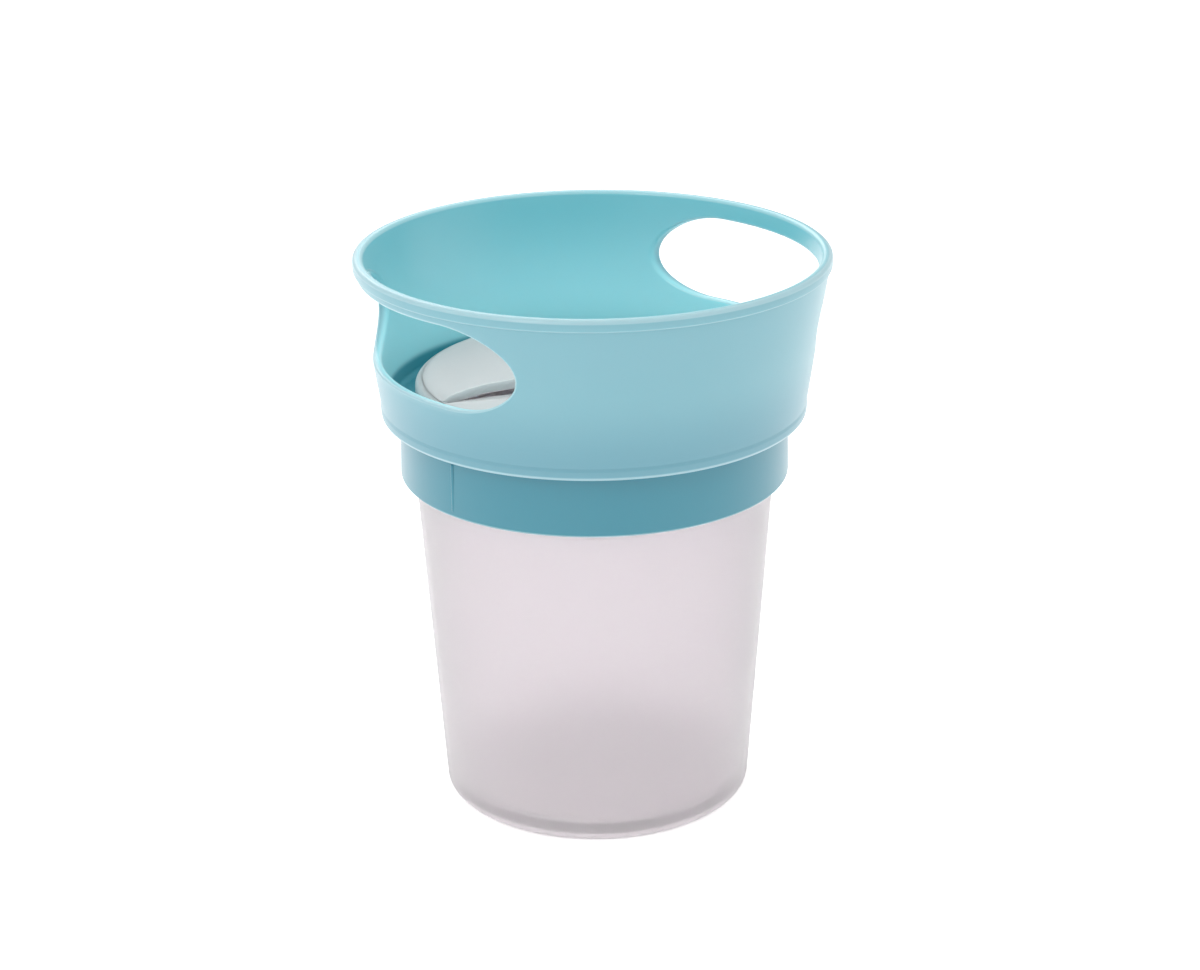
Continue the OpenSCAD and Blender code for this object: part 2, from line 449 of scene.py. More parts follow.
@dataclass(frozen=True, kw_only=True)
class CollarFinish(Finish):
    """The collar's plastic, paler on the hazed outside of the hood than on its other faces, whose
    tones are painted light and shade.

    Attributes:
        low: colour of the hood's outside at its foot, darker as painted shade.
        inside: colour of the hood's inner face at its rim, deeper than the outside as painted
            bounce light.
        inside_low_glow: colour of the hood's inner face lower down, brighter as painted light
            through the thin wall.
        groove_shade: painted shade in the groove round the diaphragm.
        edge: pale colour of the painted highlight on the points marked by EDGE_HIGHLIGHT_ATTRIBUTE.
        edge_highlight_share: how far a fully marked point leans towards it.
        skirt: colour of the skirt's outside, darker as painted shade under the hood's overhang.
        bore_glow: colour of the skirt's inside, pale and bright as painted light from inside the
            cup.
        bore_r: radii that the painted light of the skirt's inside fades out between.
        skirt_shade_z: heights that the skirt's painted shade and light fade out between.
        low_shade_z: heights that the painted shade on the hood's outside fades out between.
        inside_glow_z: heights that the inside's painted light fades between.
        groove_shade_z: heights that the groove's painted shade fades out between.
        middle_r: radius of the middle of the hood's wall at the frame's origin.
        flare: growth of that radius per metre of height.
        wall_fade: distances from that middle that the two faces' colours fade between.
    """

    low: Colour
    inside: Colour
    inside_low_glow: Colour
    groove_shade: Colour
    edge: Colour
    edge_highlight_share: float
    skirt: Colour
    bore_glow: Colour
    bore_r: Span
    skirt_shade_z: Span
    low_shade_z: Span
    inside_glow_z: Span
    groove_shade_z: Span
    middle_r: float
    flare: float
    wall_fade: Span

    def colour_at(self, nodes: Nodes, place: NodeSocket, mottled: NodeSocket) -> NodeSocket:
        """Grades the colour from the hood's outside to its inside and down to the skirt, as painted
        light and shade.
        """
        height = nodes.add("SeparateXYZ", {"Vector": place}).outputs["Z"]
        level = nodes.add("VectorMath", {0: place, 1: (1, 1, 0)}, operation="MULTIPLY")
        level = nodes.add("VectorMath", {0: level.outputs["Vector"]}, operation="LENGTH")
        radius = level.outputs["Value"]
        middle = {0: height, 1: self.flare, 2: self.middle_r}
        middle = nodes.add("Math", middle, operation="MULTIPLY_ADD").outputs["Value"]
        depth = nodes.add("Math", {0: radius, 1: middle}, operation="SUBTRACT").outputs["Value"]

        # painted shade: the hood's outside darkens towards its foot
        outside = nodes.mix(nodes.ramp(height, self.low_shade_z), self.low, mottled)
        # painted light on the hood's inner face: bounce light at the rim, light through the wall
        # lower down
        inside = nodes.mix(nodes.ramp(height, self.inside_glow_z), self.inside_low_glow, self.inside)
        # painted shade in the groove round the diaphragm
        inside = nodes.mix(nodes.ramp(height, self.groove_shade_z), self.groove_shade, inside)
        outward = nodes.ramp(depth, self.wall_fade)
        hood = nodes.mix(outward, inside, outside)
        # painted light on the skirt's inside
        past_bore = nodes.ramp(radius, self.bore_r)
        skirt = nodes.mix(past_bore, self.bore_glow, self.skirt)
        # painted shade on the skirt under the hood's overhang
        faces = nodes.mix(nodes.ramp(height, self.skirt_shade_z), skirt, hood)
        # painted highlight on the rounded edges
        marked = nodes.add("Attribute", {}, attribute_name=EDGE_HIGHLIGHT_ATTRIBUTE).outputs["Fac"]
        return nodes.mix(nodes.ramp(marked, target=(0.0, self.edge_highlight_share)), faces, self.edge)


AQUA_PLASTIC = CollarFinish(
    name="aqua_polypropylene",
    colour=(0.19, 0.435, 0.505),
    tint=(0.172, 0.415, 0.485),
    roughness=0.32,
    scatter=0.35,
    scatter_depth=1.4 * MM,
    scatter_tint=(0.5, 1.0, 1.0),
    grain=0.9 * MM,
    mottle=14 * MM,
    mottle_share=0.6,
    gloss=0.8,
    skin=0.08,
    haze=0.13,
    # painted shade at the foot of the hood's outside
    low=(0.125, 0.34, 0.42),
    # painted light on the hood's inner face: bounce light at the rim, light through the wall lower
    # down
    inside=(0.18, 0.58, 0.66),
    inside_low_glow=(0.40, 0.86, 0.92),
    # painted shade in the groove round the diaphragm
    groove_shade=(0.02, 0.30, 0.38),
    # painted highlight on the rounded edges
    edge=(0.55, 0.72, 0.76),
    edge_highlight_share=0.45,
    # painted shade under the hood's overhang
    skirt=(0.018, 0.23, 0.31),
    # painted light on the skirt's inside
    bore_glow=(0.45, 0.85, 0.9),
    bore_r=(45.8 * MM, 46.2 * MM),
    skirt_shade_z=(98.6 * MM, 99.6 * MM),
    low_shade_z=(101 * MM, 120 * MM),
    inside_glow_z=(106 * MM, 137 * MM),
    groove_shade_z=(103.6 * MM, 105.6 * MM),
    middle_r=35.8 * MM,
    flare=0.1432,
    wall_fade=(-0.9 * MM, 0.9 * MM),
)
FROSTED_PLASTIC = Finish(
    name="frosted_polypropylene",
    colour=(0.965, 0.91, 0.935),
    tint=(0.955, 0.895, 0.925),
    roughness=0.31,
    roughness_spread=0.015,
    scatter=0.8,
    scatter_depth=5 * MM,
    scatter_tint=(1.0, 0.95, 1.0),
    clear=0.68,
    refraction=1.45,
    grain=0.7 * MM,
    mottle=18 * MM,
    mottle_share=0.4,
    gloss=0.15,
    depth_colour=(0.76, 0.62, 0.76),
    depth_density=25.0,
)
SOFT_WHITE = Finish(
    name="white_elastomer",
    colour=(0.55, 0.575, 0.58),
    tint=(0.51, 0.54, 0.545),
    roughness=0.62,
    roughness_spread=0.05,
    scatter=1.0,
    scatter_depth=4.0 * MM,
    refraction=1.42,
    grain=0.4 * MM,
    grain_height=0.05 * MM,
    mottle=9 * MM,
)
WHITE_PLASTIC = Finish(
    name="white_polypropylene",
    colour=(0.82, 0.84, 0.84),
    tint=(0.78, 0.80, 0.81),
    roughness=0.4,
    scatter=0.4,
    scatter_depth=2 * MM,
    grain=0.8 * MM,
    mottle=12 * MM,
)


@dataclass
class Piece:
    """One piece of the visual model: a mesh, its finish, its slot and what it stands for."""

    obj: Object
    material: Material
    slot: Slot
    replaces: tuple[str, ...] = ()

    def dress(self) -> Object:
        """Gives the mesh its finish and hides the solids that it stands for."""
        self.obj.data.materials.clear()
        self.obj.data.materials.append(self.material)
        if self.replaces:
            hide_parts(*self.replaces)
        log.info("%s: %d faces", self.obj.name, len(self.obj.data.polygons))
        return self.obj


# ---- thread


@dataclass(frozen=True)
class Thread:
    """A multi-start thread of separate ridges, all on one lead.

    Attributes:
        sweep: angle that each ridge goes round, in degrees.
        width: height of a ridge at its root, of which the crest has crest_share.
        turn: angle of the first ridge's start from +X, in degrees.
        sunk: how deep the root lies in the wall.
        run_out: share of a ridge's sweep that each end fades over, down to end_share.
    """

    root_r: float
    crest_r: float
    first_z: float
    sweep: float
    lead: float = 16 * MM
    starts: int = 4
    width: float = 1.7 * MM
    crest_share: float = 0.48
    turn: float = 10
    sunk: float = 0.15 * MM
    run_out: float = 0.14
    end_share: float = 0.1
    steps: int = 40

    def build(self, name: str, body: str, material: Material, slot: Slot) -> None:
        """Models the ridges and joins them in one piece, which rides on a body."""
        turns = [self.turn + 360 * k / self.starts for k in range(self.starts)]
        ridges = [self._ridge(f"{name}_{k}", turn) for k, turn in enumerate(turns)]
        deselect_objects()
        for ridge in ridges:
            ridge.select_set(True)
        bpy.context.view_layer.objects.active = ridges[0]
        bpy.ops.object.join()
        piece = name_piece(bpy.context.object, name)
        shade(piece, 50)
        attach(Piece(piece, material, slot).dress(), body)

    def _ridge(self, name: str, turn: float) -> Object:
        """Models one ridge that starts at an angle from +X, in degrees."""
        root_r = self.root_r - math.copysign(self.sunk, self.crest_r - self.root_r)
        ridge = primitive(name, "plane", size=1, location=(0, 0, 0))
        mesh = edit(ridge)
        for vert in mesh.verts:
            at_crest = vert.co.x > 0
            half = self.width * (self.crest_share if at_crest else 1) / 2
            radius = self.crest_r if at_crest else root_r
            vert.co = Vector((radius, 0, self.first_z + math.copysign(half, vert.co.y)))
        bpy.ops.mesh.select_all(action="SELECT")
        bpy.ops.mesh.delete(type="ONLY_FACE")
        leave_edit(ridge)
        screw = ridge.modifiers.new("turn", "SCREW")
        screw.axis = "Z"
        screw.angle = math.radians(self.sweep)
        screw.screw_offset = self.lead * self.sweep / 360
        screw.steps = screw.render_steps = self.steps
        apply_modifiers(ridge)
        mesh = edit(ridge)
        self._fade_ends(mesh)
        merge_points()
        bpy.ops.mesh.fill_holes(sides=0)
        face_outwards()
        leave_edit(ridge)
        ridge.data.transform(Matrix.Rotation(math.radians(turn), 4, "Z"))
        return ridge

    def _fade_ends(self, mesh: BMesh) -> None:
        """Lets both ends of a ridge run out into the wall."""
        for vert in mesh.verts:
            angle = math.degrees(math.atan2(vert.co.y, vert.co.x))
            share = min(max(angle / self.sweep, 0.0), 1.0)
            full = smoothstep(min(share, 1 - share) / self.run_out)
            proud = math.hypot(vert.co.x, vert.co.y) - self.root_r
            kept = self.end_share + (1 - self.end_share) * full
            move_to_radius(vert, self.root_r + proud * kept)


# ---- cup


@dataclass
class Cup:
    """The frosted cup: tapered wall, foot ring, stop bead and threaded neck."""

    foot_r: float = 38.2 * MM
    mouth_r: float = 43.9 * MM
    wall: float = 1.7 * MM
    floor: float = 2.4 * MM
    floor_round: float = 4 * MM
    foot_w: float = 3.4 * MM
    foot_round: float = 0.4 * MM
    foot_hollow: float = 1.2 * MM
    hollow_round: float = 0.5 * MM
    heel: float = 2.0 * MM
    neck_h: float = 10.8 * MM
    neck_step: float = 0.9 * MM
    neck_round: float = 3 * MM
    rim_round: float = 0.7 * MM
    bead_proud: float = 0.45 * MM
    bead_half: float = 0.55 * MM
    bead_gap: float = 0.4 * MM
    bead_lead: float = 0.5 * MM
    crease: float = 0.25 * MM
    edge: float = 0.3 * MM
    thread_rise: float = 2.2 * MM

    def __post_init__(self) -> None:
        """Takes the heights from the solids."""
        self.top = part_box("cup")[1].z
        self.neck_z = self.top - self.neck_h
        self.neck_r = self.mouth_r - self.neck_step
        self.skirt_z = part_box("collar")[0].z

    def radius(self, z: float) -> float:
        """Outside radius of the tapered wall at a height."""
        return self.foot_r + (self.mouth_r - self.foot_r) * z / self.neck_z

    def corners(self) -> list[Corner]:
        """The cup's outline from the middle of its underside to the middle of its floor."""
        bead_z = self.skirt_z - self.bead_gap - self.bead_half
        bead_r = self.radius(bead_z) + self.bead_proud
        low, high = bead_z - self.bead_half, bead_z + self.bead_half
        inside_z = self.foot_hollow + self.floor
        return [
            Corner(0, self.foot_hollow),
            Corner(self.foot_r - self.foot_w, self.foot_hollow, self.hollow_round),
            Corner(self.foot_r - self.foot_w, 0, self.foot_round),
            Corner(self.radius(0), 0, self.heel),
            Corner(self.radius(low - self.bead_lead), low - self.bead_lead),
            Corner(self.radius(low), low, self.crease),
            Corner(bead_r, low, self.edge),
            Corner(bead_r, high, self.edge),
            Corner(self.radius(high), high, self.crease),
            Corner(self.mouth_r, self.neck_z, self.edge),
            Corner(self.neck_r, self.neck_z, self.edge),
            Corner(self.neck_r, self.top, self.rim_round),
            Corner(self.neck_r - self.wall, self.top, self.rim_round),
            Corner(self.neck_r - self.wall, self.neck_z, self.neck_round),
            Corner(self.radius(inside_z) - self.wall, inside_z, self.floor_round),
            Corner(0, inside_z),
        ]

    def build(self, material: Material) -> None:
        """Models the cup and the ridges of its thread."""
        shell = spin_outline("cup_shell", self.corners(), closed=False)
        shade(shell)
        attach(Piece(shell, material, Slot.CUP, ("cup",)).dress(), "cup")
        first_z = self.neck_z + self.thread_rise
        thread = Thread(self.neck_r, self.neck_r + RIDGE_H, first_z, sweep=110)
        thread.build("cup_thread", "cup", material, Slot.CUP)


# ---- collar


@dataclass
class Collar:
    """The aqua collar: lip, hood with two handholds, bead, shelf and skirt in one moulding.

    A handhold is cut straight through along X, so its outline is drawn in Y and Z. It is cut in a
    patch of wall that is cleared, and bridged again to the outline.
    """

    skirt_wall: float = 2.1 * MM
    skirt_flare: float = 0.33 * MM
    skirt_h: float = 15.2 * MM
    skirt_edge: float = 0.5 * MM
    bore_r: float = 44.9 * MM
    shelf_hole_r: float = 43.5 * MM
    shelf_t: float = 1.8 * MM
    shelf_edges: Span = (0.3 * MM, 0.5 * MM)
    groove_round: float = 1.8 * MM
    low_r: float = 51.3 * MM
    wall: float = 2.2 * MM
    lip_h: float = 3.0 * MM
    lip_proud: float = 0.3 * MM
    lip_step: float = 0.35 * MM
    lip_crease: float = 0.1 * MM
    lip_lean: float = 0.05 * MM
    lip_round: float = 1.05 * MM
    bead_h: float = 2.6 * MM
    bead_proud: float = 0.2 * MM
    bead_lean: float = 0.15 * MM
    bead_step: float = 0.3 * MM
    bead_fade: float = 0.5 * MM
    bead_rounds: tuple[float, ...] = (0.6 * MM, 1.1 * MM, 0.5 * MM, 0.6 * MM)
    hold_w: float = 73.6 * MM
    hold_h: float = 20.2 * MM
    hold_end: float = 15.0 * MM
    hold_rise: float = 12.7 * MM
    patch_rows: int = 16
    patch_half_deg: float = 48.0
    patch_below: float = 3.6 * MM
    patch_above: float = 0.3 * MM
    patch_slack: float = 0.2 * MM
    patch_reach: float = 0.6
    pull_reach: float = 0.6 * MM
    near_face: float = 0.05 * MM
    near_outline: float = 0.02 * MM
    edge_round: float = 0.7 * MM
    thread_rise: float = 1.2 * MM
    mark_deg: float = 197.0
    mark_r: float = 0.5 * MM
    mark_h: float = 12.0 * MM
    mark_rise: float = 1.2 * MM
    mark_round: float = 0.35 * MM

    def __post_init__(self) -> None:
        """Takes the heights and the widest radius from the solid."""
        low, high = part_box("collar")
        self.bottom, self.top = low.z, high.z
        self.top_r = high.x
        self.shelf_z = self.bottom + self.skirt_h
        self.shelf_top = self.shelf_z + self.shelf_t
        self.hold_z = self.shelf_top + self.hold_rise + self.hold_h / 2
        self.patch_low = self.hold_z - self.hold_h / 2 - self.patch_below
        self.patch_high = self.top - self.lip_h - self.patch_above
        self.hold_straight = self.hold_w / 2 - self.hold_end
        self.hold_stretch = self.hold_end / (self.hold_h / 2)

    def wall_r(self, z: float, surface: Surface) -> float:
        """Radius of one face of the hood's wall at a height."""
        rise = (self.top_r - self.lip_proud - self.low_r) / (self.top - self.shelf_top)
        radius = self.low_r + rise * (z - self.shelf_top)
        return radius if surface is Surface.OUTER else radius - self.wall

    def _rows(self, surface: Surface) -> list[Corner]:
        """The wall's points at the heights of the handhold's patch, going up."""
        span = self.patch_high - self.patch_low
        heights = [self.patch_low + span * k / self.patch_rows for k in range(self.patch_rows + 1)]
        return [Corner(self.wall_r(z, surface), z) for z in heights]

    def corners(self) -> list[Corner]:
        """The collar's outline, a loop from the skirt's bottom edge up the outside."""
        bead_top = self.shelf_z + self.bead_h
        bead_r = self.wall_r(bead_top, Surface.OUTER) + self.bead_proud
        bead_end = bead_top + self.bead_fade
        skirt_r = self.bore_r + self.skirt_wall
        lip_z = self.top - self.lip_h
        return [
            Corner(self.bore_r, self.bottom, self.skirt_edge),
            Corner(skirt_r + self.skirt_flare, self.bottom, self.skirt_edge),
            Corner(skirt_r, self.shelf_z, self.bead_rounds[0]),
            Corner(bead_r - self.bead_lean, self.shelf_z, self.bead_rounds[1]),
            Corner(bead_r, bead_top - self.bead_step, self.bead_rounds[2]),
            Corner(self.wall_r(bead_end, Surface.OUTER), bead_end, self.bead_rounds[3]),
            *self._rows(Surface.OUTER),
            Corner(self.wall_r(lip_z, Surface.OUTER), lip_z, self.lip_crease),
            Corner(self.top_r - self.lip_lean, lip_z + self.lip_step, self.lip_step),
            Corner(self.top_r, self.top, self.lip_round),
            Corner(self.wall_r(self.top, Surface.INNER), self.top, self.lip_round),
            *reversed(self._rows(Surface.INNER)),
            Corner(self.wall_r(self.shelf_top, Surface.INNER), self.shelf_top, self.groove_round),
            Corner(self.shelf_hole_r, self.shelf_top, self.shelf_edges[1]),
            Corner(self.shelf_hole_r, self.shelf_z, self.shelf_edges[0]),
            Corner(self.bore_r, self.shelf_z, self.skirt_edge),
        ]

    def build(self, material: Material) -> None:
        """Models the collar, its closing mark and the ridges of its thread."""
        shell = spin_outline("collar_shell", self.corners(), closed=True)
        for side in (-1, 1):
            self._open_handhold(shell, side)
        shade(shell, 40)
        # marks the rounded edges for the finish's painted highlight
        mark_edges(shell)
        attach(Piece(shell, material, Slot.COLLAR, ("collar",)).dress(), "collar")
        self._closing_mark(material)
        first_z = self.bottom + self.thread_rise
        thread = Thread(self.bore_r, self.bore_r - RIDGE_H, first_z, sweep=100)
        thread.build("collar_thread", "collar", material, Slot.COLLAR)

    def _outline_beside(self, point: Vector, side: int, surface: Surface) -> Vector:
        """The outline's point on one face that is nearest a point beside the handhold."""
        middle = min(max(point.y, -self.hold_straight), self.hold_straight)
        away = Vector(((point.y - middle) / self.hold_stretch, point.z - self.hold_z))
        away = away.normalized() * self.hold_h / 2
        y, z = middle + away.x * self.hold_stretch, self.hold_z + away.y
        return Vector((side * math.sqrt(self.wall_r(z, surface) ** 2 - y * y), y, z))

    def _in_patch(self, point: Vector, side: int, slack: float = 0.0) -> bool:
        """Whether a point lies in the patch round a handhold, give or take some slack."""
        turn = math.degrees(math.atan2(point.y, side * point.x))
        in_turn = abs(turn) < self.patch_half_deg + slack / MM
        return in_turn and self.patch_low - slack < point.z < self.patch_high + slack

    def _off_wall(self, point: Vector, surface: Surface) -> float:
        """How far a point lies outside one face of the wall."""
        return math.hypot(point.x, point.y) - self.wall_r(point.z, surface)

    def _open_handhold(self, shell: Object, side: int) -> None:
        """Cuts one handhold: clears a patch, bridges it to the outline and rounds the edges."""
        mesh = edit(shell)
        for face in mesh.faces:
            centre = face.calc_center_median()
            off_middle = self._off_wall(centre, Surface.OUTER) + self.wall / 2
            on_wall = abs(off_middle) < self.patch_reach * self.wall
            face.select_set(on_wall and self._in_patch(centre, side))
        bmesh.update_edit_mesh(shell.data)
        bpy.ops.mesh.delete(type="FACE")
        for surface in Surface:
            self._bridge_patch(shell, side, surface)
        self._select_hold_edges(shell, side)
        bpy.ops.mesh.bridge_edge_loops(type="SINGLE", number_cuts=0, interpolation="LINEAR")
        bpy.ops.mesh.region_to_loop()
        bpy.ops.mesh.bevel(offset=self.edge_round, segments=5, affect="EDGES", clamp_overlap=False)
        face_outwards()
        leave_edit(shell)

    def _bridge_patch(self, shell: Object, side: int, surface: Surface) -> None:
        """Adds the handhold's outline on one face of the wall and bridges the patch to it."""
        mesh = bmesh.from_edit_mesh(shell.data)
        bpy.ops.mesh.select_all(action="DESELECT")
        border = self._patch_border(mesh, side, surface)
        rim = walk_loop(list({vert for edge in border for vert in edge.verts}), set(border))
        beside = [self._outline_beside(vert.co, side, surface) for vert in rim]
        bpy.ops.mesh.primitive_circle_add(vertices=len(beside), radius=10 * MM, fill_type="NOTHING")
        mesh = bmesh.from_edit_mesh(shell.data)
        ring = {vert for vert in mesh.verts if vert.select}
        ring_edges = {edge for vert in ring for edge in vert.link_edges}
        for vert, place in zip(walk_loop(list(ring), ring_edges), beside):
            vert.co = place
        for edge in self._patch_border(mesh, side, surface):
            edge.select_set(True)
        bmesh.update_edit_mesh(shell.data)
        bpy.ops.mesh.bridge_edge_loops(type="SINGLE", number_cuts=1, interpolation="LINEAR")
        mesh = bmesh.from_edit_mesh(shell.data)
        for vert in mesh.verts:
            near = abs(self._off_wall(vert.co, surface)) < self.pull_reach
            if near and self._in_patch(vert.co, side, self.patch_slack):
                move_to_radius(vert, self.wall_r(vert.co.z, surface))
        bmesh.update_edit_mesh(shell.data)

    def _patch_border(self, mesh: BMesh, side: int, surface: Surface) -> list[BMEdge]:
        """The open edges round a handhold's cleared patch on one face of the wall."""

        def on_border(point: Vector) -> bool:
            on_face = abs(self._off_wall(point, surface)) < self.near_face
            return on_face and self._in_patch(point, side, self.patch_slack)

        return open_edges(mesh, on_border)

    def _select_hold_edges(self, shell: Object, side: int) -> None:
        """Selects the handhold's open outline on both faces of the wall."""

        def on_outline(point: Vector) -> bool:
            past = max(abs(point.y) - self.hold_straight, 0) / self.hold_stretch
            off = math.hypot(past, point.z - self.hold_z) - self.hold_h / 2
            return point.x * side > 0 and abs(off) < self.near_outline

        mesh = bmesh.from_edit_mesh(shell.data)
        bpy.ops.mesh.select_all(action="DESELECT")
        for edge in open_edges(mesh, on_outline):
            edge.select_set(True)
        bmesh.update_edit_mesh(shell.data)

    def _closing_mark(self, material: Material) -> None:
        """Models the small upright rib on the skirt that shows where the collar closes."""
        radius = self.bore_r + self.skirt_wall + self.skirt_flare / 2 - self.mark_r / 2
        place = (radius, 0, self.bottom + self.mark_rise + self.mark_h / 2)
        size = {"vertices": 24, "radius": self.mark_r, "depth": self.mark_h}
        mark = primitive("closing_mark", "cylinder", location=place, **size)
        bpy.ops.object.transform_apply(location=True, rotation=True, scale=True)
        mesh = edit(mark)
        for edge in mesh.edges:
            edge.select_set(abs(edge.verts[0].co.z - edge.verts[1].co.z) < TINY)
        bmesh.update_edit_mesh(mark.data)
        bpy.ops.mesh.bevel(offset=self.mark_round, segments=4, affect="EDGES")
        leave_edit(mark)
        mark.data.transform(Matrix.Rotation(math.radians(self.mark_deg), 4, "Z"))
        shade(mark, 60)
        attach(Piece(mark, material, Slot.COLLAR).dress(), "collar")


# ---- diaphragm


@dataclass(frozen=True)
class Flap:
    """One soft quarter of the slit top.

    Attributes:
        name: the node that it stands for.
        turn: direction from the axis to its root, in degrees from +X.
        first: its edge along the slit that it turns away from: distances from the axis and how
            far the edge hangs there below the dome, both in millimetres, from the tip outwards.
        second: its edge along the next slit, anticlockwise.
    """

    name: str
    turn: float
    first: tuple[Span, ...]
    second: tuple[Span, ...]


def edge_drop(drops: tuple[Span, ...], radius: float) -> float:
    """How far an edge, which meets the dome at its seam, hangs at a distance from the axis."""
    drops = (*drops, (SEAM_MM, 0.0))
    reach = radius / MM
    for (near, near_drop), (far, far_drop) in zip(drops, drops[1:]):
        if reach <= far:
            share = smoothstep((reach - near) / (far - near))
            return (near_drop + (far_drop - near_drop) * share) * MM
    return 0.0


FLAPS = (
    Flap(
        "flap_front_left",
        225,
        ((0, 3.6), (12, 3.4), (22, 3.0), (31, 2.3), (36, 2.0), (38.8, 1.8), (40, 1.4)),
        ((0, 3.6), (10, 3.0), (20, 2.0), (30, 1.2), (36, 0.8), (39.4, 0.5)),
    ),
    Flap(
        "flap_front_right",
        315,
        ((0, 2.2), (10, 1.6), (20, 0.9), (30, 0.4), (36, 0.3), (39.4, 0.2)),
        ((0, 2.2), (10, 1.6), (20, 1.0), (30, 0.6), (36, 0.4), (39.4, 0.2)),
    ),
    Flap(
        "flap_back_right",
        45,
        ((0, 1.4), (10, 0.8), (20, 0.3), (30, 0.0), (36, 0.0)),
        ((0, 1.4), (10, 0.9), (20, 0.5), (30, 0.3), (36, 0.2)),
    ),
    Flap(
        "flap_back_left",
        135,
        ((0, 0.4), (10, 0.1), (20, -0.2), (30, -0.2), (36, 0.0)),
        ((0, 0.4), (12, 0.0), (22, -0.5), (29, -0.7))
        + ((33, -0.5), (36.5, -0.1), (38.4, 0.3), (40, 0.8)),
    ),
)


